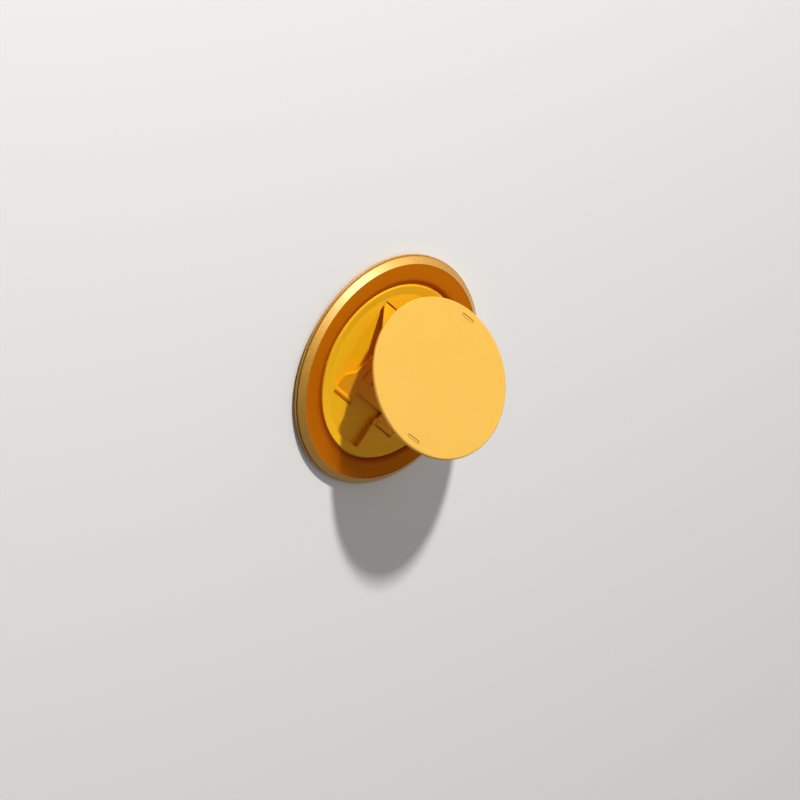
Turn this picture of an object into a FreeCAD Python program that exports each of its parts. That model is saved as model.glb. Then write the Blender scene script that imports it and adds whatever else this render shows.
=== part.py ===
# Phone grip: a magnetic ring that clings to the back of a phone, with a tray turning inside it
# and a round grip disc that stands up on two crossed legs and folds flat into the tray.
# Frame: Z up out of the phone's back, origin at the middle of the face that meets the phone,
# X along the hinge pins, +Y towards the hinge of the upper leg.
# Every moving piece is drawn folded flat and then turned to its standing place.

import FreeCAD, Part
import Sketcher
import math
import os

doc = FreeCAD.newDocument("phone_grip")
sizes = doc.addObject("Spreadsheet::Sheet", "sizes")

# Driving sizes in millimetres and degrees
driving = [
    # layers under the tray
    ("pad_thickness", 0.2),
    ("pad_margin", 0.25),
    ("pad_width", 7.8),
    ("cover_thickness", 0.3),
    ("cover_side_gap", 0.05),
    # bezel ring
    ("ring_outer_radius", 30.5),
    ("ring_ground_gap", 0.25),
    ("foot_setback", 0.8),
    ("foot_wall", 0.6),
    ("lip_bottom", 0.8),
    ("lip_top", 1.23),
    ("lip_round", 0.12),
    ("groove_depth", 0.55),
    ("groove_top", 1.55),
    ("bevel_setback", 0.3),
    ("bevel_bottom", 1.7),
    ("bevel_width", 1.6),
    ("bevel_top", 2.82),
    ("bevel_round", 0.1),
    ("bevel_land", 0.25),
    ("annulus_step", 0.06),
    ("annulus_width", 4.15),
    ("annulus_thickness", 0.66),
    ("annulus_round", 1.0),
    ("inner_slope_width", 0.95),
    ("inner_slope_drop", 0.46),
    ("channel_wall", 0.3),
    # magnets on their steel yoke
    ("magnet_width", 2.45),
    ("magnet_side_gap", 0.1),
    ("yoke_thickness", 0.4),
    ("magnet_count", 16),
    ("magnet_arc", 20.5),
    # tray
    ("turning_gap", 0.1),
    ("flange_side_gap", 0.35),
    ("flange_top_gap", 0.15),
    ("tray_side_gap", 0.3),
    ("rim_top", 2.65),
    ("rim_land", 0.3),
    ("rim_round", 0.15),
    ("border_width", 2.25),
    ("floor_drop", 0.45),
    ("tray_skin", 0.2),
    ("pocket_clearance", 0.35),
    ("pocket_corner_radius", 0.6),
    # hinges of the two legs
    ("bead_radius", 0.65),
    ("pin_radius", 0.3),
    ("pin_running_gap", 0.03),
    ("pin_press_gap", 0.01),
    ("pin_grip_length", 1.4),
    ("lug_inner", 5.1),
    ("lug_width", 0.8),
    ("lug_gap", 0.25),
    # upper leg
    ("upper_hinge_setback", 8.4),
    ("upper_hinge_height", 1.7),
    ("upper_foot_setback", 5.5),
    ("upper_leg_bottom", 1.65),
    ("upper_leg_thickness", 0.7),
    ("upper_edge_round", 0.2),
    ("upper_side_length", 7.6),
    ("upper_waist_setback", 7.2),
    ("upper_waist_half_width", 4.7),
    ("upper_notch_length", 9.5),
    ("upper_tip_half_width", 1.2),
    ("ball_height", 2.0),
    ("ball_radius", 0.7),
    ("ball_neck_radius", 0.4),
    ("ball_neck_length", 1.9),
    # lower leg
    ("lower_hinge_setback", 8.2),
    ("lower_hinge_height", 1.6),
    ("lower_foot_inset", 1.65),
    ("lower_leg_thickness", 0.6),
    ("lower_foot_length", 4.6),
    ("lower_shoulder_length", 1.7),
    ("lower_shoulder_step", 1.95),
    ("lower_shoulder_round", 1.0),
    ("lower_taper_step", 0.7),
    ("lower_taper_start", 1.0),
    ("lower_neck_half_width", 4.6),
    ("lower_neck_start", 4.4),
    ("lower_notch_length", 2.7),
    ("lower_tip_offset_x", 2.0),
    ("lower_tip_setback", 3.8),
    ("lower_tip_half_width", 0.75),
    ("dome_radius", 0.7),
    ("dome_height", 1.85),
    ("slot_edge_distance", 2.9),
    ("slot_pitch", 3.7),
    ("slot_near_end", 5.3),
    ("slot_far_end", 0.4),
    ("slot_half_width", 0.55),
    # grip disc and what it carries underneath
    ("disc_overhang", 0.2),
    ("disc_underside", 2.9),
    ("disc_setback", 0.46),
    ("disc_thickness", 1.15),
    ("disc_edge_round", 0.45),
    ("mark_inset", 2.25),
    ("mark_half_length", 1.55),
    ("mark_half_width", 0.42),
    ("tab_gap", 0.18),
    ("tab_recess", 0.1),
    ("seat_offset_x", 2.0),
    ("seat_inset", 2.4),
    ("clip_plate_thickness", 0.25),
    ("clip_plate_margin", 0.45),
    ("socket_wall", 0.7),
    ("socket_gap", 0.06),
    ("socket_depth", 0.15),
    ("neck_side_gap", 0.15),
    ("pad_half_width", 3.6),
    ("slide_pad_inset", 1.6),
    ("slide_pad_length", 7.4),
    ("slide_pad_thickness", 0.2),
    ("slide_gap", 0.35),
    # standing attitude
    ("lift_angle", 34.264),
    ("tilt_angle", 21.9),
    ("roll_angle", 19.9),
    ("twist_angle", 9.4),
]

# Sizes that follow from the driving ones: the ring sets the tray, and the tray sets the legs and disc
following = [
    ("cover_top", "=pad_thickness + cover_thickness"),
    ("foot_radius", "=ring_outer_radius - foot_setback"),
    ("rebate_radius", "=foot_radius - foot_wall"),
    ("cover_radius", "=rebate_radius - cover_side_gap"),
    ("pad_outer_radius", "=cover_radius - pad_margin"),
    ("pad_inner_radius", "=pad_outer_radius - pad_width"),
    ("groove_radius", "=ring_outer_radius - groove_depth"),
    ("bevel_outer_radius", "=ring_outer_radius - bevel_setback"),
    ("bevel_inner_radius", "=bevel_outer_radius - bevel_width"),
    ("annulus_outer_radius", "=bevel_inner_radius - bevel_land"),
    ("annulus_inner_radius", "=annulus_outer_radius - annulus_width"),
    ("annulus_level", "=bevel_top - annulus_step"),
    ("annulus_underside", "=annulus_level - annulus_thickness"),
    ("inner_slope_radius", "=annulus_inner_radius - inner_slope_width"),
    ("inner_slope_bottom", "=annulus_level - inner_slope_drop"),
    ("channel_outer_radius", "=bevel_inner_radius - channel_wall"),
    ("magnet_outer_radius", "=channel_outer_radius - magnet_side_gap"),
    ("magnet_inner_radius", "=magnet_outer_radius - magnet_width"),
    ("magnet_pitch", "=360 / magnet_count"),
    ("yoke_underside", "=annulus_underside - yoke_thickness"),
    ("tray_bottom", "=cover_top + turning_gap"),
    ("flange_radius", "=magnet_inner_radius - flange_side_gap"),
    ("flange_top", "=annulus_underside - flange_top_gap"),
    ("tray_radius", "=inner_slope_radius - tray_side_gap"),
    ("rim_inner_radius", "=tray_radius - rim_land"),
    ("floor_radius", "=rim_inner_radius - border_width"),
    ("floor_level", "=rim_top - floor_drop"),
    ("pocket_floor", "=tray_bottom + tray_skin"),
    ("pocket_depth", "=rim_top - pocket_floor"),
    ("upper_leg_half_width", "=floor_radius - upper_foot_setback"),
    ("upper_hinge_offset", "=floor_radius - upper_hinge_setback"),
    ("lower_hinge_offset", "=floor_radius - lower_hinge_setback"),
    ("lower_foot_half_width", "=upper_leg_half_width - lower_foot_inset"),
    ("pocket_half_width", "=upper_leg_half_width + pocket_clearance"),
    ("pocket_high_end", "=upper_hinge_offset + bead_radius + pocket_clearance"),
    ("pocket_low_end", "=lower_hinge_offset + bead_radius + pocket_clearance"),
    ("lug_height", "=floor_level - pocket_floor"),
    ("lug_outer", "=lug_inner + lug_width"),
    ("notch_half_width", "=lug_outer + lug_gap"),
    ("high_lug_face", "=upper_hinge_offset - bead_radius"),
    ("low_lug_face", "=lower_hinge_offset - bead_radius"),
    ("outer_lug_face", "=lower_foot_half_width + lug_gap"),
    ("pin_bore_radius", "=pin_radius + pin_press_gap"),
    ("leg_bore_radius", "=pin_radius + pin_running_gap"),
    ("upper_pin_end", "=pocket_half_width + pin_grip_length"),
    ("lower_pin_end", "=outer_lug_face + pin_grip_length"),
    ("disc_radius", "=floor_radius + disc_overhang"),
    ("disc_top", "=disc_underside + disc_thickness"),
    ("mark_offset", "=disc_radius - mark_inset"),
    ("seat_offset_y", "=disc_radius - seat_inset"),
    ("ball_reach", "=seat_offset_y + disc_setback"),
    ("upper_taper_start", "=upper_hinge_offset - upper_side_length"),
    ("upper_waist_offset", "=seat_offset_y - upper_waist_setback"),
    ("upper_notch_start", "=upper_hinge_offset - upper_notch_length"),
    ("upper_tip_end", "=ball_reach - ball_neck_length"),
    ("upper_tip_left", "=seat_offset_x + upper_tip_half_width"),
    ("upper_tip_right", "=seat_offset_x - upper_tip_half_width"),
    ("notch_past_high", "=upper_hinge_offset + 2 * bead_radius"),
    ("notch_past_low", "=lower_hinge_offset + 2 * bead_radius"),
    ("lower_leg_bottom", "=lower_hinge_height - bead_radius"),
    ("lower_foot_end", "=lower_hinge_offset - lower_foot_length"),
    ("lower_shoulder_end", "=lower_foot_end - lower_shoulder_length"),
    ("lower_waist_half_width", "=lower_foot_half_width - lower_shoulder_step"),
    ("lower_taper_half_width", "=lower_waist_half_width - lower_taper_step"),
    ("lower_notch_end", "=lower_hinge_offset - lower_notch_length"),
    ("lower_tip_offset_y", "=floor_radius - lower_tip_setback"),
    ("lower_tip_end", "=lower_tip_offset_y + dome_radius"),
    ("lower_tip_left", "=lower_tip_offset_x - lower_tip_half_width"),
    ("lower_tip_right", "=lower_tip_offset_x + lower_tip_half_width"),
    ("slot_outer_offset", "=lower_taper_half_width - slot_edge_distance"),
    ("slot_inner_offset", "=slot_outer_offset - slot_pitch"),
    ("tab_half_width", "=mark_half_width - tab_gap"),
    ("tab_height", "=disc_thickness - tab_recess"),
    ("clip_plate_bottom", "=disc_underside - clip_plate_thickness"),
    ("clip_plate_right", "=mark_half_length + mark_half_width + clip_plate_margin"),
    ("socket_radius", "=ball_radius + socket_gap"),
    ("socket_reach", "=socket_radius + socket_wall"),
    ("socket_left", "=seat_offset_x + socket_reach"),
    ("socket_right", "=seat_offset_x - socket_reach"),
    ("socket_far", "=seat_offset_y + socket_reach"),
    ("socket_near", "=seat_offset_y - socket_reach"),
    ("socket_bottom", "=ball_height - socket_depth"),
    ("socket_height", "=clip_plate_bottom - socket_bottom"),
    ("neck_passage_left", "=seat_offset_x + socket_radius + neck_side_gap"),
    ("neck_passage_right", "=seat_offset_x - socket_radius - neck_side_gap"),
    ("slide_pad_bottom", "=disc_underside - slide_pad_thickness"),
    ("pad_outer_reach", "=disc_radius - slide_pad_inset"),
    ("pad_inner_reach", "=pad_outer_reach - slide_pad_length"),
    ("tongue_slot_half_width", "=upper_waist_half_width + pocket_clearance"),
    ("tongue_slot_end", "=socket_far + disc_setback + pocket_clearance"),
    ("neck_slot_half_width", "=lower_neck_half_width + pocket_clearance"),
    ("neck_slot_end", "=lower_tip_end + 2 * pocket_clearance"),
]

for number, (name, content) in enumerate(driving + following, 1):
    sizes.set(f"A{number}", name)
    sizes.set(f"B{number}", str(content))
    sizes.setAlias(f"B{number}", name)
doc.recompute()


def value(name):
    """The number behind a named size, or minus it where the name has a minus sign."""
    if name.startswith("-"):
        return -sizes.get(name[1:])
    return sizes.get(name)


def new_body(label):
    body = doc.addObject("PartDesign::Body", label)
    body.Label = label
    return body


def sketch_on(body, role, level=None):
    """A sketch on one of the body's own planes, lifted to a named level."""
    sketch = body.newObject("Sketcher::SketchObject", "sketch")
    plane = [feature for feature in body.Origin.OriginFeatures if feature.Role == role][0]
    sketch.AttachmentSupport = [(plane, "")]
    sketch.MapMode = "FlatFace"
    if level:
        sketch.setExpression("AttachmentOffset.Base.z", f"sizes.{level}")
    return sketch


def tie(sketch, kind, ends, name):
    number = sketch.addConstraint(Sketcher.Constraint(kind, *ends, abs(value(name))))
    sketch.setExpression(f"Constraints[{number}]", f"sizes.{name.lstrip('-')}")


def tie_point(sketch, point, x, y):
    """Holds a point of the sketch at two named distances from its origin."""
    for kind, name, axis in (("DistanceX", x, -2), ("DistanceY", y, -1)):
        if name == "0":
            sketch.addConstraint(Sketcher.Constraint("PointOnObject", *point, axis))
        elif name.startswith("-"):
            tie(sketch, kind, (*point, -1, 1), name)
        else:
            tie(sketch, kind, (-1, 1, *point), name)


def position(x, y):
    return FreeCAD.Vector(*(0.0 if name == "0" else value(name) for name in (x, y)), 0)


def outline(sketch, corners):
    """A closed outline of straight lines through named corners."""
    first = sketch.GeometryCount
    count = len(corners)
    points = [position(x, y) for x, y in corners]
    for number in range(count):
        sketch.addGeometry(Part.LineSegment(points[number], points[(number + 1) % count]))
    for number in range(count):
        following_line = first + (number + 1) % count
        sketch.addConstraint(Sketcher.Constraint("Coincident", first + number, 2, following_line, 1))
    for number, (x, y) in enumerate(corners):
        tie_point(sketch, (first + number, 1), x, y)


def rectangle(sketch, left, right, low, high):
    outline(sketch, [(left, low), (right, low), (right, high), (left, high)])


def circle(sketch, x, y, radius):
    number = sketch.addGeometry(Part.Circle(position(x, y), FreeCAD.Vector(0, 0, 1), value(radius)))
    tie_point(sketch, (number, 3), x, y)
    tie(sketch, "Radius", (number,), radius)


def pill(sketch, first_end, second_end, radius):
    """A slot shape: two half circles about named centres, joined by two straight lines."""
    ends = [position(*first_end), position(*second_end)]
    along = (ends[1] - ends[0]).normalize()
    heading = math.atan2(along.y, along.x)
    side = FreeCAD.Vector(-along.y, along.x, 0) * value(radius)
    up = FreeCAD.Vector(0, 0, 1)
    first = sketch.GeometryCount
    for centre, start in ((ends[0], heading + math.pi / 2), (ends[1], heading - math.pi / 2)):
        sketch.addGeometry(Part.ArcOfCircle(Part.Circle(centre, up, value(radius)), start, start + math.pi))
    sketch.addGeometry(Part.LineSegment(ends[0] - side, ends[1] - side))
    sketch.addGeometry(Part.LineSegment(ends[1] + side, ends[0] + side))
    for one, one_end, other, other_end in ((0, 2, 2, 1), (2, 2, 1, 1), (1, 2, 3, 1), (3, 2, 0, 1)):
        sketch.addConstraint(Sketcher.Constraint("Tangent", first + one, one_end, first + other, other_end))
    tie_point(sketch, (first, 3), *first_end)
    tie_point(sketch, (first + 1, 3), *second_end)
    tie(sketch, "Radius", (first,), radius)


def extrude(body, kind, sketch, length, both_ways=False):
    """A Pad or Pocket of a sketch, by a named length, or by twice it about the sketch."""
    feature = body.newObject(f"PartDesign::{kind}", kind)
    feature.Profile = sketch
    feature.Type = "Length"
    if both_ways:
        feature.SideType = "Symmetric"
        feature.setExpression("Length", f"2 * sizes.{length}")
    else:
        feature.setExpression("Length", f"sizes.{length}")
    doc.recompute()
    return feature


def revolve(label, corners, angle=None):
    """A turned body: a section of radius and height corners, turned about Z."""
    body = new_body(label)
    sketch = sketch_on(body, "XZ_Plane")
    outline(sketch, corners)
    feature = body.newObject("PartDesign::Revolution", "turned")
    feature.Profile = sketch
    feature.ReferenceAxis = (sketch, ["V_Axis"])
    if angle:
        feature.setExpression("Angle", f"sizes.{angle}")
    else:
        feature.Angle = 360
    doc.recompute()
    return body


def round_edges(body, radius, wanted):
    """Fillets the edges of the body so far for which wanted says yes."""
    base = body.Tip
    names = [f"Edge{number}" for number, edge in enumerate(base.Shape.Edges, 1) if wanted(edge)]
    fillet = body.newObject("PartDesign::Fillet", "rounded")
    fillet.Base = (base, names)
    fillet.setExpression("Radius", f"sizes.{radius}")
    doc.recompute()


def is_upright(edge):
    return len(edge.Vertexes) == 2 and abs(edge.tangentAt(edge.FirstParameter).z) > 0.99


def stands_at(edge, x, y):
    """Whether an upright edge stands at a named distance either side of the middle, and at a named Y."""
    middle = edge.CenterOfMass
    return is_upright(edge) and abs(abs(middle.x) - value(x)) < 1e-6 and abs(middle.y - value(y)) < 1e-6


def is_circle_at(edge, radius, level=None):
    """Whether the edge is a circle of a named radius, and at a named level if one is given."""
    if not isinstance(edge.Curve, Part.Circle) or abs(edge.Curve.Radius - value(radius)) > 1e-6:
        return False
    return level is None or abs(edge.Curve.Center.z - value(level)) < 1e-6


pieces = []

# Contact pad: a thin soft ring that keeps the grip from sliding on the phone
pieces.append(revolve("contact_pad", [
    ("pad_inner_radius", "0"), ("pad_outer_radius", "0"),
    ("pad_outer_radius", "pad_thickness"), ("pad_inner_radius", "pad_thickness")]))

# Back cover: a thin plate glued into the rebate under the bezel ring
pieces.append(revolve("back_cover", [
    ("0", "pad_thickness"), ("cover_radius", "pad_thickness"),
    ("cover_radius", "cover_top"), ("0", "cover_top")]))

# Bezel ring: turned ring with a thin lip and groove at the foot, a bevel and a flat top
bezel_ring = revolve("bezel_ring", [
    ("rebate_radius", "ring_ground_gap"), ("foot_radius", "ring_ground_gap"),
    ("ring_outer_radius", "lip_bottom"), ("ring_outer_radius", "lip_top"),
    ("groove_radius", "lip_top"), ("groove_radius", "groove_top"),
    ("bevel_outer_radius", "groove_top"), ("bevel_outer_radius", "bevel_bottom"),
    ("bevel_inner_radius", "bevel_top"), ("annulus_outer_radius", "bevel_top"),
    ("annulus_outer_radius", "annulus_level"), ("annulus_inner_radius", "annulus_level"),
    ("inner_slope_radius", "inner_slope_bottom"), ("inner_slope_radius", "annulus_underside"),
    ("channel_outer_radius", "annulus_underside"),
    ("channel_outer_radius", "cover_top"), ("rebate_radius", "cover_top")])
round_edges(bezel_ring, "lip_round", lambda edge: is_circle_at(edge, "ring_outer_radius"))
round_edges(bezel_ring, "bevel_round", lambda edge: (
    is_circle_at(edge, "bevel_outer_radius", "bevel_bottom") or is_circle_at(edge, "bevel_inner_radius")))
round_edges(bezel_ring, "annulus_round", lambda edge: is_circle_at(edge, "annulus_inner_radius"))
pieces.append(bezel_ring)

# Steel yoke that closes the magnets' field on the outer side
pieces.append(revolve("magnet_yoke", [
    ("magnet_inner_radius", "yoke_underside"), ("magnet_outer_radius", "yoke_underside"),
    ("magnet_outer_radius", "annulus_underside"), ("magnet_inner_radius", "annulus_underside")]))

# Arc magnets under the yoke, side by side round the ring
for number in range(int(value("magnet_count"))):
    magnet = revolve(f"magnet_{number + 1:02d}", [
        ("magnet_inner_radius", "cover_top"), ("magnet_outer_radius", "cover_top"),
        ("magnet_outer_radius", "yoke_underside"), ("magnet_inner_radius", "yoke_underside")], "magnet_arc")
    magnet.setExpression("Placement.Rotation.Angle", f"sizes.magnet_pitch * {number}")
    pieces.append(magnet)

# Tray: moulded dish that turns inside the ring, with a pocket for the folded legs
tray = revolve("base_tray", [
    ("0", "tray_bottom"), ("flange_radius", "tray_bottom"), ("flange_radius", "flange_top"),
    ("tray_radius", "flange_top"), ("tray_radius", "rim_top"), ("rim_inner_radius", "rim_top"),
    ("floor_radius", "floor_level"), ("0", "floor_level")])
round_edges(tray, "rim_round", lambda edge: (
    is_circle_at(edge, "tray_radius", "rim_top") or is_circle_at(edge, "rim_inner_radius", "rim_top")))
pocket = sketch_on(tray, "XY_Plane", "rim_top")
outline(pocket, [
    ("-pocket_half_width", "-pocket_low_end"), ("-tongue_slot_half_width", "-pocket_low_end"),
    ("-tongue_slot_half_width", "-tongue_slot_end"), ("tongue_slot_half_width", "-tongue_slot_end"),
    ("tongue_slot_half_width", "-pocket_low_end"), ("pocket_half_width", "-pocket_low_end"),
    ("pocket_half_width", "pocket_high_end"), ("neck_slot_half_width", "pocket_high_end"),
    ("neck_slot_half_width", "neck_slot_end"), ("-neck_slot_half_width", "neck_slot_end"),
    ("-neck_slot_half_width", "pocket_high_end"), ("-pocket_half_width", "pocket_high_end")])
extrude(tray, "Pocket", pocket, "pocket_depth")
round_edges(tray, "pocket_corner_radius", lambda edge: (
    is_upright(edge) and edge.Length < value("floor_level")))
lugs = sketch_on(tray, "XY_Plane", "pocket_floor")
for left, right in (("lug_inner", "lug_outer"), ("-lug_outer", "-lug_inner")):
    rectangle(lugs, left, right, "high_lug_face", "pocket_high_end")
    rectangle(lugs, left, right, "-pocket_low_end", "-low_lug_face")
extrude(tray, "Pad", lugs, "lug_height")
end_lugs = sketch_on(tray, "XY_Plane", "pocket_floor")
for left, right in (("outer_lug_face", "pocket_half_width"), ("-pocket_half_width", "-outer_lug_face")):
    rectangle(end_lugs, left, right, "-pocket_low_end", "-low_lug_face")
extrude(tray, "Pad", end_lugs, "lug_height")
for offset, height, reach in (
        ("upper_hinge_offset", "upper_hinge_height", "upper_pin_end"),
        ("-lower_hinge_offset", "lower_hinge_height", "lower_pin_end")):
    bore = sketch_on(tray, "YZ_Plane")
    circle(bore, offset, height, "pin_bore_radius")
    extrude(tray, "Pocket", bore, reach, both_ways=True)
pieces.append(tray)


# Hinge pins: a short steel pin under each foot of the two legs
def hinge_pin(leg, side, word, offset):
    label = f"{leg}_hinge_pin_{word}"
    pin = doc.addObject("Part::Cylinder", label)
    pin.Label = label
    pin.setExpression("Radius", "sizes.pin_radius")
    pin.setExpression("Height", f"sizes.{leg}_pin_end - sizes.lug_inner")
    pin.Placement.Rotation = FreeCAD.Rotation(FreeCAD.Vector(0, side, 0), 90)
    pin.setExpression("Placement.Base.x", f"{side} * sizes.lug_inner")
    pin.setExpression("Placement.Base.y", offset)
    pin.setExpression("Placement.Base.z", f"sizes.{leg}_hinge_height")
    pieces.append(pin)


for side, word in ((-1, "left"), (1, "right")):
    hinge_pin("upper", side, word, "sizes.upper_hinge_offset")
    hinge_pin("lower", side, word, "-sizes.lower_hinge_offset")

# Upper leg: plate with two feet on the hinge, tapering to a ball that carries the disc
upper_leg = new_body("upper_leg")
plate = sketch_on(upper_leg, "XY_Plane", "upper_leg_bottom")
outline(plate, [
    ("upper_leg_half_width", "upper_hinge_offset"), ("-upper_leg_half_width", "upper_hinge_offset"),
    ("-upper_leg_half_width", "upper_taper_start"), ("-upper_waist_half_width", "-upper_waist_offset"),
    ("-upper_tip_left", "-upper_tip_end"), ("-upper_tip_right", "-upper_tip_end"),
    ("upper_waist_half_width", "-upper_waist_offset"), ("upper_leg_half_width", "upper_taper_start")])
extrude(upper_leg, "Pad", plate, "upper_leg_thickness")
bead = sketch_on(upper_leg, "YZ_Plane")
circle(bead, "upper_hinge_offset", "upper_hinge_height", "bead_radius")
extrude(upper_leg, "Pad", bead, "upper_leg_half_width", both_ways=True)
round_edges(upper_leg, "upper_edge_round", lambda edge: (
    not is_upright(edge) and abs(edge.CenterOfMass.x) > value("upper_waist_half_width")))
notch = sketch_on(upper_leg, "XY_Plane")
rectangle(notch, "-notch_half_width", "notch_half_width", "upper_notch_start", "notch_past_high")
extrude(upper_leg, "Pocket", notch, "floor_radius", both_ways=True)
bore = sketch_on(upper_leg, "YZ_Plane")
circle(bore, "upper_hinge_offset", "upper_hinge_height", "leg_bore_radius")
extrude(upper_leg, "Pocket", bore, "upper_pin_end", both_ways=True)
neck = upper_leg.newObject("PartDesign::AdditiveCylinder", "ball_neck")
neck.setExpression("Radius", "sizes.ball_neck_radius")
neck.setExpression("Height", "sizes.ball_neck_length")
neck.Placement.Rotation = FreeCAD.Rotation(FreeCAD.Vector(1, 0, 0), -90)
ball = upper_leg.newObject("PartDesign::AdditiveSphere", "ball")
ball.setExpression("Radius", "sizes.ball_radius")
for feature in (neck, ball):
    feature.setExpression("Placement.Base.x", "-sizes.seat_offset_x")
    feature.setExpression("Placement.Base.y", "-sizes.ball_reach")
    feature.setExpression("Placement.Base.z", "sizes.ball_height")
doc.recompute()
pieces.append(upper_leg)

# Lower leg: slotted plate with two feet, narrowing to a neck that passes through the upper leg
lower_leg = new_body("lower_leg")
plate = sketch_on(lower_leg, "XY_Plane", "lower_leg_bottom")
outline(plate, [
    ("lower_foot_half_width", "-lower_hinge_offset"), ("lower_foot_half_width", "-lower_foot_end"),
    ("lower_waist_half_width", "-lower_shoulder_end"), ("lower_taper_half_width", "lower_taper_start"),
    ("lower_neck_half_width", "lower_neck_start"), ("lower_tip_right", "lower_tip_offset_y"),
    ("lower_tip_right", "lower_tip_end"), ("lower_tip_left", "lower_tip_end"),
    ("lower_tip_left", "lower_tip_offset_y"), ("-lower_neck_half_width", "lower_neck_start"),
    ("-lower_taper_half_width", "lower_taper_start"), ("-lower_waist_half_width", "-lower_shoulder_end"),
    ("-lower_foot_half_width", "-lower_foot_end"), ("-lower_foot_half_width", "-lower_hinge_offset")])
extrude(lower_leg, "Pad", plate, "lower_leg_thickness")
round_edges(lower_leg, "lower_shoulder_round", lambda edge: (
    stands_at(edge, "lower_foot_half_width", "-lower_foot_end")
    or stands_at(edge, "lower_waist_half_width", "-lower_shoulder_end")))
bead = sketch_on(lower_leg, "YZ_Plane")
circle(bead, "-lower_hinge_offset", "lower_hinge_height", "bead_radius")
extrude(lower_leg, "Pad", bead, "lower_foot_half_width", both_ways=True)
notch = sketch_on(lower_leg, "XY_Plane")
rectangle(notch, "-notch_half_width", "notch_half_width", "-notch_past_low", "-lower_notch_end")
extrude(lower_leg, "Pocket", notch, "floor_radius", both_ways=True)
bore = sketch_on(lower_leg, "YZ_Plane")
circle(bore, "-lower_hinge_offset", "lower_hinge_height", "leg_bore_radius")
extrude(lower_leg, "Pocket", bore, "lower_pin_end", both_ways=True)
slots = sketch_on(lower_leg, "XY_Plane")
for name in ("slot_inner_offset", "-slot_inner_offset", "slot_outer_offset", "-slot_outer_offset"):
    pill(slots, (name, "-slot_near_end"), (name, "-slot_far_end"), "slot_half_width")
extrude(lower_leg, "Pocket", slots, "floor_radius", both_ways=True)
dome = lower_leg.newObject("PartDesign::AdditiveSphere", "dome")
dome.setExpression("Radius", "sizes.dome_radius")
dome.setExpression("Placement.Base.x", "sizes.lower_tip_offset_x")
dome.setExpression("Placement.Base.y", "sizes.lower_tip_offset_y")
dome.setExpression("Placement.Base.z", "sizes.dome_height")
doc.recompute()
pieces.append(lower_leg)

# Grip disc: thin round plate with rounded edges and two pill-shaped holes for the tabs
grip_disc = revolve("grip_disc", [
    ("0", "disc_underside"), ("disc_radius", "disc_underside"),
    ("disc_radius", "disc_top"), ("0", "disc_top")])
round_edges(grip_disc, "disc_edge_round", lambda edge: is_circle_at(edge, "disc_radius"))
marks = sketch_on(grip_disc, "XY_Plane", "disc_top")
for name in ("mark_offset", "-mark_offset"):
    pill(marks, ("-mark_half_length", name), ("mark_half_length", name), "mark_half_width")
extrude(grip_disc, "Pocket", marks, "disc_thickness")

# Ball seat: clip under the lower end of the disc that holds the upper leg's ball
ball_seat = new_body("ball_seat_clip")
seat_plate = sketch_on(ball_seat, "XY_Plane", "clip_plate_bottom")
rectangle(seat_plate, "-socket_left", "clip_plate_right", "-socket_far", "-socket_near")
extrude(ball_seat, "Pad", seat_plate, "clip_plate_thickness")
socket = sketch_on(ball_seat, "XY_Plane", "socket_bottom")
rectangle(socket, "-socket_left", "-socket_right", "-socket_far", "-socket_near")
extrude(ball_seat, "Pad", socket, "socket_height")
tab = sketch_on(ball_seat, "XY_Plane", "disc_underside")
pill(tab, ("-mark_half_length", "-mark_offset"), ("mark_half_length", "-mark_offset"), "tab_half_width")
extrude(ball_seat, "Pad", tab, "tab_height")
passage = sketch_on(ball_seat, "XY_Plane", "clip_plate_bottom")
rectangle(passage, "-neck_passage_left", "-neck_passage_right", "-seat_offset_y", "-socket_near")
extrude(ball_seat, "Pocket", passage, "socket_height")
hollow = ball_seat.newObject("PartDesign::SubtractiveSphere", "hollow")
hollow.setExpression("Radius", "sizes.socket_radius")
hollow.setExpression("Placement.Base.x", "-sizes.seat_offset_x")
hollow.setExpression("Placement.Base.y", "-sizes.seat_offset_y")
hollow.setExpression("Placement.Base.z", "sizes.ball_height")
doc.recompute()

# Slide pad: hard plate under the upper end of the disc on which the lower leg's dome slides
slide_pad = new_body("slide_pad")
pad_plate = sketch_on(slide_pad, "XY_Plane", "slide_pad_bottom")
rectangle(pad_plate, "-pad_half_width", "pad_half_width", "pad_inner_reach", "pad_outer_reach")
extrude(slide_pad, "Pad", pad_plate, "slide_pad_thickness")
tab = sketch_on(slide_pad, "XY_Plane", "disc_underside")
pill(tab, ("-mark_half_length", "mark_offset"), ("mark_half_length", "mark_offset"), "tab_half_width")
extrude(slide_pad, "Pad", tab, "tab_height")
pieces += [grip_disc, ball_seat, slide_pad]

# Standing attitude: the upper leg lifts, and the disc turns on its ball
x_axis, y_axis, z_axis = FreeCAD.Vector(1, 0, 0), FreeCAD.Vector(0, 1, 0), FreeCAD.Vector(0, 0, 1)
still = FreeCAD.Vector(0, 0, 0)
upper_hinge = FreeCAD.Vector(0, value("upper_hinge_offset"), value("upper_hinge_height"))
lower_hinge = FreeCAD.Vector(0, value("-lower_hinge_offset"), value("lower_hinge_height"))
folded_ball = FreeCAD.Vector(value("-seat_offset_x"), value("-ball_reach"), value("ball_height"))
seat = FreeCAD.Vector(value("-seat_offset_x"), value("-seat_offset_y"), value("ball_height"))
upper_leg.Placement = FreeCAD.Placement(still, FreeCAD.Rotation(x_axis, value("-lift_angle")), upper_hinge)
standing_ball = upper_leg.Placement.multVec(folded_ball)
attitude = (FreeCAD.Rotation(x_axis, value("-tilt_angle")) * FreeCAD.Rotation(y_axis, value("-roll_angle"))
            * FreeCAD.Rotation(z_axis, value("-twist_angle")))
disc_place = FreeCAD.Placement(standing_ball - seat, attitude, seat)
for piece in (grip_disc, ball_seat, slide_pad):
    piece.Placement = disc_place

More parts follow.
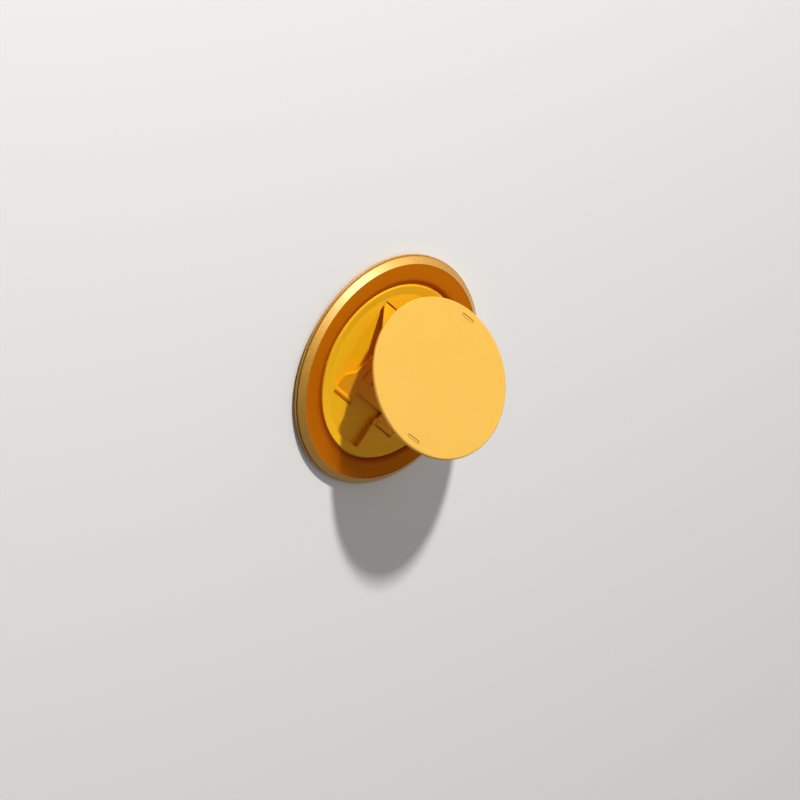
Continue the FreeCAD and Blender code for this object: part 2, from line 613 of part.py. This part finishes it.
# The lower leg rises until its dome lies the sliding gap below the slide pad
normal = attitude.multVec(z_axis)
pad_point = disc_place.multVec(FreeCAD.Vector(0, 0, value("slide_pad_bottom")))
dome_centre = FreeCAD.Vector(
    value("lower_tip_offset_x"), value("lower_tip_offset_y"), value("dome_height")) - lower_hinge
pad_distance = normal.dot(pad_point - lower_hinge)
level = pad_distance - value("dome_radius") - value("slide_gap") - normal.x * dome_centre.x
along = normal.y * dome_centre.y + normal.z * dome_centre.z
across = normal.z * dome_centre.y - normal.y * dome_centre.z
rise_angle = math.degrees(math.atan2(across, along) - math.acos(level / math.hypot(along, across)))
lower_leg.Placement = FreeCAD.Placement(still, FreeCAD.Rotation(x_axis, rise_angle), lower_hinge)

# Joint facts for whoever moves the model
turn = FreeCAD.Rotation(x_axis, value("lift_angle")) * attitude
turn_axis = upper_leg.Placement.Rotation.multVec(turn.Axis)
print("upper hinge", tuple(upper_hinge), "lift", value("lift_angle"))
print("lower hinge", tuple(lower_hinge), "rise", round(rise_angle, 4))
print("ball", tuple(standing_ball), "turn axis", tuple(turn_axis), "turn", math.degrees(turn.Angle))

doc.recompute()
faulty = [item.Label for item in doc.Objects if "Invalid" in item.State or "Error" in item.State]
faulty += [piece.Label for piece in pieces if piece.Shape.isNull() or not piece.Shape.isValid()]
if faulty:
    raise RuntimeError(f"these pieces failed to build: {faulty}")

os.makedirs("parts", exist_ok=True)
for piece in pieces:
    piece.Shape.exportStep(f"parts/{piece.Label}.step")
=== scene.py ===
"""A magnetic phone grip, standing open on its two crossed legs."""
import bpy
from math import cos, radians, sin
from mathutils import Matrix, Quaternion, Vector


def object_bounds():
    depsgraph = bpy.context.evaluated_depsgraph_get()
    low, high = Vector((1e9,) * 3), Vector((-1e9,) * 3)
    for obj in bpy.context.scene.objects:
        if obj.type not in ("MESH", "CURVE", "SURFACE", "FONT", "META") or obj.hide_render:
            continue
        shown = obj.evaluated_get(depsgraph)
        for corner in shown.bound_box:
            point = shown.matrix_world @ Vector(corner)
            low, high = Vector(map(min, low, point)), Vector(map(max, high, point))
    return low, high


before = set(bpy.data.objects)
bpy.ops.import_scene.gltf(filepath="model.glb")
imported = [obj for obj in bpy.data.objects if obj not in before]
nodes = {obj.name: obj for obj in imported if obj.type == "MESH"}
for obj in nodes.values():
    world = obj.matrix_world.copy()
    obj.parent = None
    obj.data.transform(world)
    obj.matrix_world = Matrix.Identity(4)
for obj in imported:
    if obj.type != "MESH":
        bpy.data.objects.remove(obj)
cad_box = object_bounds()


# Contact pad: the thin soft ring on the underside that keeps the grip from sliding.
# Silicone rubber, cast in a polished mould and glued to the back cover.
def linear(hex_colour):
    """An sRGB hex colour as the linear RGBA that shaders take."""
    channels = [int(hex_colour[place:place + 2], 16) / 255 for place in (1, 3, 5)]
    return [c / 12.92 if c <= 0.04045 else ((c + 0.055) / 1.055) ** 2.4 for c in channels] + [1]


def add_node(tree, kind, inputs, **settings):
    """Adds a shader node: settings are its properties, and inputs its sockets, as values or links."""
    made = tree.nodes.new("ShaderNode" + kind)
    for name, choice in settings.items():
        setattr(made, name, choice)
    for socket, content in inputs.items():
        if isinstance(content, bpy.types.NodeSocket):
            tree.links.new(content, made.inputs[socket])
        else:
            made.inputs[socket].default_value = content
    return made


def new_finish(name, **sockets):
    """A material with its shader, whose sockets take the given constants, and the place on the piece."""
    material = bpy.data.materials.new(name)
    material.use_nodes = True
    tree = material.node_tree
    shader = tree.nodes["Principled BSDF"]
    for socket, content in sockets.items():
        shader.inputs[socket.replace("_", " ")].default_value = content
    place = add_node(tree, "TexCoord", {}).outputs["Object"]
    return material, tree, shader, place


def dress(node, material):
    """Gives a piece its finish, in place of the one that it came with."""
    nodes[node].data.materials.clear()
    nodes[node].data.materials.append(material)


# Cast silicone rubber: dull and nearly black, with a faint bloom of dust in soft patches
silicone, tree, shader, place = new_finish("cast_silicone_rubber", IOR=1.43)
BLOOM_PATCH = 2.5e-3
bloom = add_node(tree, "TexNoise", {"Vector": place, "Scale": 1 / BLOOM_PATCH, "Detail": 4})
shade = add_node(tree, "ValToRGB", {"Fac": bloom.outputs["Fac"]})
shade.color_ramp.elements[0].color = linear("#2B2B2D")
shade.color_ramp.elements[1].color = linear("#3A3A3C")
dulling = add_node(tree, "MapRange", {"Value": bloom.outputs["Fac"], "To Min": 0.52, "To Max": 0.72})
tree.links.new(shade.outputs["Color"], shader.inputs["Base Color"])
tree.links.new(dulling.outputs["Result"], shader.inputs["Roughness"])
dress("contact_pad", silicone)

# Back cover: the thin plate that closes the magnets in, glued into the rebate under the ring.
# Injection-moulded polycarbonate, dark grey, from a spark-eroded mould.
# Spark texture: an even fine grain that breaks the shine into a satin
polycarbonate, tree, shader, place = new_finish("spark_textured_polycarbonate", IOR=1.58)
SPARK_GRAIN = 0.3e-3  # a typical grain is about 0.1 mm; drawn coarser so that it shows
spark = add_node(tree, "TexNoise", {"Vector": place, "Scale": 1 / SPARK_GRAIN, "Detail": 3})
shade = add_node(tree, "ValToRGB", {"Fac": spark.outputs["Fac"]})
shade.color_ramp.elements[0].color = linear("#3A3B3D")
shade.color_ramp.elements[1].color = linear("#48494B")
satin = add_node(tree, "MapRange", {"Value": spark.outputs["Fac"], "To Min": 0.42, "To Max": 0.58})
relief = add_node(tree, "Bump", {"Height": spark.outputs["Fac"], "Strength": 0.25, "Distance": 0.02e-3})
tree.links.new(shade.outputs["Color"], shader.inputs["Base Color"])
tree.links.new(satin.outputs["Result"], shader.inputs["Roughness"])
tree.links.new(relief.outputs["Normal"], shader.inputs["Normal"])
dress("back_cover", polycarbonate)

# Arc magnets: sixteen segments side by side in the ring's channel, bonded to the yoke.
# Sintered neodymium, ground and nickel plated.
# Nickel plate: bright and slightly warm, with a thin haze where the ground face shows through
nickel, tree, shader, place = new_finish("nickel_plated_neodymium", Metallic=1.0)
HAZE_PATCH = 1.5e-3
haze = add_node(tree, "TexNoise", {"Vector": place, "Scale": 1 / HAZE_PATCH, "Detail": 3})
shade = add_node(tree, "ValToRGB", {"Fac": haze.outputs["Fac"]})
shade.color_ramp.elements[0].color = linear("#D8D3C8")
shade.color_ramp.elements[1].color = linear("#C4BFB4")
clouding = add_node(tree, "MapRange", {"Value": haze.outputs["Fac"], "To Min": 0.16, "To Max": 0.3})
tree.links.new(shade.outputs["Color"], shader.inputs["Base Color"])
tree.links.new(clouding.outputs["Result"], shader.inputs["Roughness"])
for name in nodes:
    if name.startswith("magnet_") and name != "magnet_yoke":
        dress(name, nickel)

# Magnet yoke: the flat ring that closes the field over the magnets, bonded under the ring's top.
# Stamped mild steel, zinc plated.
# Zinc plate: cool grey, with small crystal patches that shine a little differently
zinc, tree, shader, place = new_finish("zinc_plated_steel", Metallic=1.0)
SPANGLE = 1.2e-3
spangle = add_node(tree, "TexVoronoi", {"Vector": place, "Scale": 1 / SPANGLE})
shade = add_node(tree, "ValToRGB", {"Fac": spangle.outputs["Distance"]})
shade.color_ramp.elements[0].color = linear("#B9BCC0")
shade.color_ramp.elements[1].color = linear("#A3A7AC")
patches = add_node(tree, "MapRange", {
    "Value": spangle.outputs["Distance"], "To Min": 0.3, "To Max": 0.46})
tree.links.new(shade.outputs["Color"], shader.inputs["Base Color"])
tree.links.new(patches.outputs["Result"], shader.inputs["Roughness"])
dress("magnet_yoke", zinc)

# Bezel ring: the turned ring that holds the magnets, with a lip and groove at its foot, a bevel
# and a flat top that slopes away to the tray. Aluminium, bead blasted, then anodised orange;
# the bevel was cut again after dyeing and anodised a second time, paler.
# Bead blasting: a sandy grain, faint under the dye and glittering on the fresh-cut bevel, whose clear
# sealed skin gives a soft white highlight
anodised, tree, shader, place = new_finish(
    "bead_blasted_anodised_aluminium", Metallic=1.0, Coat_Roughness=0.42, Coat_IOR=1.62)
BLAST_GRIT = 0.45e-3  # typical dents are about 0.1 mm; drawn coarser so that they show
GRIT_CONTRAST = 0.14
GRIT_UNDER_DYE = 0.3  # share of the grain that shows where the dye is deep
RING_WIDTH = 7.3e-3
BEVEL_WIDTH = 1.95e-3
OUTER_EDGE = cad_box[1][0]
BEVEL_EDGE = OUTER_EDGE - BEVEL_WIDTH
SKIN_FADE = 0.05e-3
flat = add_node(tree, "VectorMath", {0: place, 1: (1, 1, 0)}, operation="MULTIPLY")
radius = add_node(tree, "VectorMath", {0: flat.outputs["Vector"]}, operation="LENGTH")
zones = add_node(tree, "MapRange", {
    "Value": radius.outputs["Value"], "From Min": OUTER_EDGE - RING_WIDTH, "From Max": OUTER_EDGE})
tint = add_node(tree, "ValToRGB", {"Fac": zones.outputs["Result"]})
ramp = tint.color_ramp.elements
# Colour by radius: the two innermost stops darken the ring towards its inner edge beside the tray, which
# is painted shade where the recess lies in shadow. From the flat top outwards the stops are the orange
# dye, then the paler bevel.
ramp[0].position, ramp[0].color = 0.0, linear("#9C4202")
ramp[1].position, ramp[1].color = 1.0, linear("#BE8C2C")
for inwards, dye_and_painted_shade in (
        (6.3e-3, "#B45A02"), (5.5e-3, "#C06C02"), (2.0e-3, "#C27003"),
        (1.9e-3, "#C49432"), (0.4e-3, "#C29130")):
    ramp.new(1 - inwards / RING_WIDTH).color = linear(dye_and_painted_shade)
clear_skin = add_node(tree, "MapRange", {
    "Value": radius.outputs["Value"], "From Min": BEVEL_EDGE, "From Max": BEVEL_EDGE + SKIN_FADE})
tree.links.new(clear_skin.outputs["Result"], shader.inputs["Coat Weight"])
grit = add_node(tree, "TexNoise", {
    "Vector": place, "Scale": 1 / BLAST_GRIT, "Detail": 2, "Roughness": 0.6})
glitter = add_node(tree, "MapRange", {
    "Value": grit.outputs["Fac"], "From Min": 0.3, "From Max": 0.7,
    "To Min": -GRIT_CONTRAST, "To Max": GRIT_CONTRAST})
freshness = add_node(tree, "MapRange", {
    "Value": clear_skin.outputs["Result"], "To Min": GRIT_UNDER_DYE, "To Max": 1})
sparkle = add_node(tree, "Math", {
    0: glitter.outputs["Result"], 1: freshness.outputs["Result"], 2: 1}, operation="MULTIPLY_ADD")
colour = add_node(tree, "VectorMath", {
    0: tint.outputs["Color"], 1: sparkle.outputs["Value"]}, operation="MULTIPLY")
blasting = add_node(tree, "MapRange", {"Value": grit.outputs["Fac"], "To Min": 0.6, "To Max": 0.76})
dents = add_node(tree, "Bump", {"Height": grit.outputs["Fac"], "Strength": 0.7, "Distance": 0.05e-3})
tree.links.new(colour.outputs["Vector"], shader.inputs["Base Color"])
tree.links.new(blasting.outputs["Result"], shader.inputs["Roughness"])
tree.links.new(dents.outputs["Normal"], shader.inputs["Normal"])
tree.links.new(dents.outputs["Normal"], shader.inputs["Coat Normal"])
dress("bezel_ring", anodised)

# Tray: the dish that turns inside the ring, with a sloping border and a pocket for the folded legs.
# Injection-moulded ABS, coloured through.
# Fine matt mould texture: little shine, and a colour that drifts slightly with the plastic's flow
moulded, tree, shader, place = new_finish(
    "matt_moulded_yellow_abs", IOR=1.54, Specular_IOR_Level=0.15,
    Subsurface_Weight=0.2, Subsurface_Scale=1e-3)
MOULD_GRAIN = 0.22e-3  # a typical grain is about 0.1 mm; drawn coarser so that it shows
FLOW_PATCH = 9e-3
grain = add_node(tree, "TexNoise", {"Vector": place, "Scale": 1 / MOULD_GRAIN, "Detail": 2})
flow = add_node(tree, "TexNoise", {"Vector": place, "Scale": 1 / FLOW_PATCH, "Detail": 2})
shade = add_node(tree, "ValToRGB", {"Fac": flow.outputs["Fac"]})
shade.color_ramp.elements[0].color = linear("#FFBB0C")
shade.color_ramp.elements[1].color = linear("#FFC314")
matting = add_node(tree, "MapRange", {"Value": grain.outputs["Fac"], "To Min": 0.48, "To Max": 0.62})
relief = add_node(tree, "Bump", {"Height": grain.outputs["Fac"], "Strength": 0.15, "Distance": 0.02e-3})
tree.links.new(shade.outputs["Color"], shader.inputs["Base Color"])
tree.links.new(matting.outputs["Result"], shader.inputs["Roughness"])
tree.links.new(relief.outputs["Normal"], shader.inputs["Normal"])
dress("base_tray", moulded)

# Hinge pins: two short pins under the feet of each leg, pressed into the tray's lugs.
# Centreless-ground stainless steel.
# Grinding: fine bright rings round the pin, which lies along X, so the pattern is drawn out across X
ground_steel, tree, shader, place = new_finish("ground_stainless_steel", Metallic=1.0)
GRINDING_LINE = 0.08e-3
LINE_STRETCH = 0.05
rings = add_node(tree, "VectorMath", {
    0: place, 1: (1, LINE_STRETCH, LINE_STRETCH)}, operation="MULTIPLY")
lines = add_node(tree, "TexNoise", {
    "Vector": rings.outputs["Vector"], "Scale": 1 / GRINDING_LINE, "Detail": 2})
shade = add_node(tree, "ValToRGB", {"Fac": lines.outputs["Fac"]})
shade.color_ramp.elements[0].color = linear("#C9CBCE")
shade.color_ramp.elements[1].color = linear("#B4B6B9")
scoring = add_node(tree, "MapRange", {"Value": lines.outputs["Fac"], "To Min": 0.18, "To Max": 0.34})
tree.links.new(shade.outputs["Color"], shader.inputs["Base Color"])
tree.links.new(scoring.outputs["Result"], shader.inputs["Roughness"])
for leg in ("upper", "lower"):
    for side in ("left", "right"):
        dress(f"{leg}_hinge_pin_{side}", ground_steel)

# Upper and lower leg: the two crossed plates that carry the disc and fold down into the tray.
# Injection-moulded glass-filled nylon, coloured through, each swinging on its pair of pins.
# Glass-filled nylon: a little smoother than the tray, with faint fibre streaks along the leg
nylon, tree, shader, place = new_finish(
    "moulded_glass_filled_nylon", IOR=1.53, Specular_IOR_Level=0.12,
    Subsurface_Weight=0.2, Subsurface_Scale=1e-3)
FIBRE_WIDTH = 0.25e-3  # real fibres are far finer; drawn as the bundles that show at the surface
FIBRE_STRETCH = 0.12
streaks = add_node(tree, "VectorMath", {0: place, 1: (1, FIBRE_STRETCH, 1)}, operation="MULTIPLY")
fibre = add_node(tree, "TexNoise", {
    "Vector": streaks.outputs["Vector"], "Scale": 1 / FIBRE_WIDTH, "Detail": 2})
shade = add_node(tree, "ValToRGB", {"Fac": fibre.outputs["Fac"]})
shade.color_ramp.elements[0].color = linear("#FFAE08")
shade.color_ramp.elements[1].color = linear("#FFB712")
sheen = add_node(tree, "MapRange", {"Value": fibre.outputs["Fac"], "To Min": 0.4, "To Max": 0.52})
relief = add_node(tree, "Bump", {"Height": fibre.outputs["Fac"], "Strength": 0.1, "Distance": 0.015e-3})
tree.links.new(shade.outputs["Color"], shader.inputs["Base Color"])
tree.links.new(sheen.outputs["Result"], shader.inputs["Roughness"])
tree.links.new(relief.outputs["Normal"], shader.inputs["Normal"])
dress("upper_leg", nylon)
dress("lower_leg", nylon)

# Ball seat clip and slide pad: the two plates under the disc that take the legs' ball and dome.
# Injection-moulded acetal; a tab of each is pressed through the disc and shows in its face.
# Acetal: waxy and smooth, in the disc's colour
acetal, tree, shader, place = new_finish("moulded_pale_yellow_acetal", IOR=1.48, Specular_IOR_Level=0.35)
WAX_PATCH = 3e-3
wax = add_node(tree, "TexNoise", {"Vector": place, "Scale": 1 / WAX_PATCH, "Detail": 3})
shade = add_node(tree, "ValToRGB", {"Fac": wax.outputs["Fac"]})
shade.color_ramp.elements[0].color = linear("#E2AF40")
shade.color_ramp.elements[1].color = linear("#E5B346")
waxiness = add_node(tree, "MapRange", {"Value": wax.outputs["Fac"], "To Min": 0.36, "To Max": 0.48})
tree.links.new(shade.outputs["Color"], shader.inputs["Base Color"])
tree.links.new(waxiness.outputs["Result"], shader.inputs["Roughness"])
dress("ball_seat_clip", acetal)
dress("slide_pad", acetal)

# Grip disc: the thin round plate by which the grip is held, clipped to the two plates under it.
# Injection-moulded ABS, paler than the tray.
# Soft matt face: an even fine grain and almost no shine, so the colour looks chalky
soft_matt, tree, shader, place = new_finish(
    "soft_matt_pale_yellow_abs", IOR=1.54, Specular_IOR_Level=0.2,
    Subsurface_Weight=0.25, Subsurface_Scale=1.2e-3)
FACE_GRAIN = 0.25e-3  # a typical grain is about 0.1 mm; drawn coarser so that it shows
grain = add_node(tree, "TexNoise", {"Vector": place, "Scale": 1 / FACE_GRAIN, "Detail": 2})
flow = add_node(tree, "TexNoise", {"Vector": place, "Scale": 1 / FLOW_PATCH, "Detail": 2})
shade = add_node(tree, "ValToRGB", {"Fac": flow.outputs["Fac"]})
shade.color_ramp.elements[0].color = linear("#E4B142")
shade.color_ramp.elements[1].color = linear("#E7B548")
matting = add_node(tree, "MapRange", {"Value": grain.outputs["Fac"], "To Min": 0.54, "To Max": 0.68})
relief = add_node(tree, "Bump", {"Height": grain.outputs["Fac"], "Strength": 0.12, "Distance": 0.02e-3})
tree.links.new(shade.outputs["Color"], shader.inputs["Base Color"])
tree.links.new(matting.outputs["Result"], shader.inputs["Roughness"])
tree.links.new(relief.outputs["Normal"], shader.inputs["Normal"])
dress("grip_disc", soft_matt)

# Studio: a pale card floor, a key light, a softer lamp for the metal's glint, and a white room that is
# brighter on the far side.
# The camera has a long lens, at the height and roll of the photo.
floor_mesh = bpy.data.meshes.new("floor")
FLOOR_REACH = 3.0
floor_mesh.from_pydata(
    [(x * FLOOR_REACH, y * FLOOR_REACH, 0) for x, y in ((-1, -1), (1, -1), (1, 1), (-1, 1))],
    [], [(0, 1, 2, 3)])
floor = bpy.data.objects.new("floor", floor_mesh)
bpy.context.collection.objects.link(floor)
pale_card = new_finish("pale_card", Roughness=0.9, Base_Color=linear("#F2F1EE"))[0]
floor_mesh.materials.append(pale_card)

LAMP_DISTANCE = 1.2
for name, azimuth, elevation, size, watts in (
        ("key", 133, 31, 0.07, 15.0), ("glint", 115, 54, 0.3, 13.0)):
    light = bpy.data.lights.new(name, "AREA")
    light.size = size
    light.energy = watts
    lamp = bpy.data.objects.new(name, light)
    across = LAMP_DISTANCE * cos(radians(elevation))
    height = LAMP_DISTANCE * sin(radians(elevation))
    lamp.location = (across * cos(radians(azimuth)), across * sin(radians(azimuth)), height)
    lamp.rotation_mode = "QUATERNION"
    lamp.rotation_quaternion = (-lamp.location).to_track_quat("-Z", "Y")
    bpy.context.collection.objects.link(lamp)
bpy.data.objects["glint"].visible_diffuse = False  # it shows in shiny surfaces alone

room = bpy.data.worlds.new("room")
room.use_nodes = True
tree = room.node_tree
BRIGHT_SIDE = Vector((0.75, 0.45, 0.48))
DIM_LEVEL, BRIGHT_LEVEL = 0.02, 0.5
towards = add_node(tree, "TexCoord", {}).outputs["Generated"]
facing = add_node(tree, "VectorMath", {0: towards, 1: BRIGHT_SIDE}, operation="DOT_PRODUCT")
level = add_node(tree, "MapRange", {
    "Value": facing.outputs["Value"], "From Min": -0.4, "From Max": 1,
    "To Min": DIM_LEVEL, "To Max": BRIGHT_LEVEL})
tree.nodes["Background"].inputs["Color"].default_value = linear("#FFFFFF")
tree.links.new(level.outputs["Result"], tree.nodes["Background"].inputs["Strength"])
bpy.context.scene.world = room

CAMERA_PLACE = Vector((-0.894184, -0.143667, 0.815936))
CAMERA_AIM = Vector((0.01134, -0.003675, 0))
CAMERA_ROLL = radians(116.992)
lens = bpy.data.cameras.new("camera")
lens.sensor_width = 36
lens.lens = 218.53
lens.clip_end = 20
camera = bpy.data.objects.new("camera", lens)
camera.location = CAMERA_PLACE
level_view = (CAMERA_AIM - CAMERA_PLACE).to_track_quat("-Z", "Y")
camera.rotation_mode = "QUATERNION"
camera.rotation_quaternion = level_view @ Quaternion((0, 0, 1), CAMERA_ROLL)
bpy.context.collection.objects.link(camera)
bpy.context.scene.camera = camera
bpy.context.scene.view_settings.view_transform = "Standard"
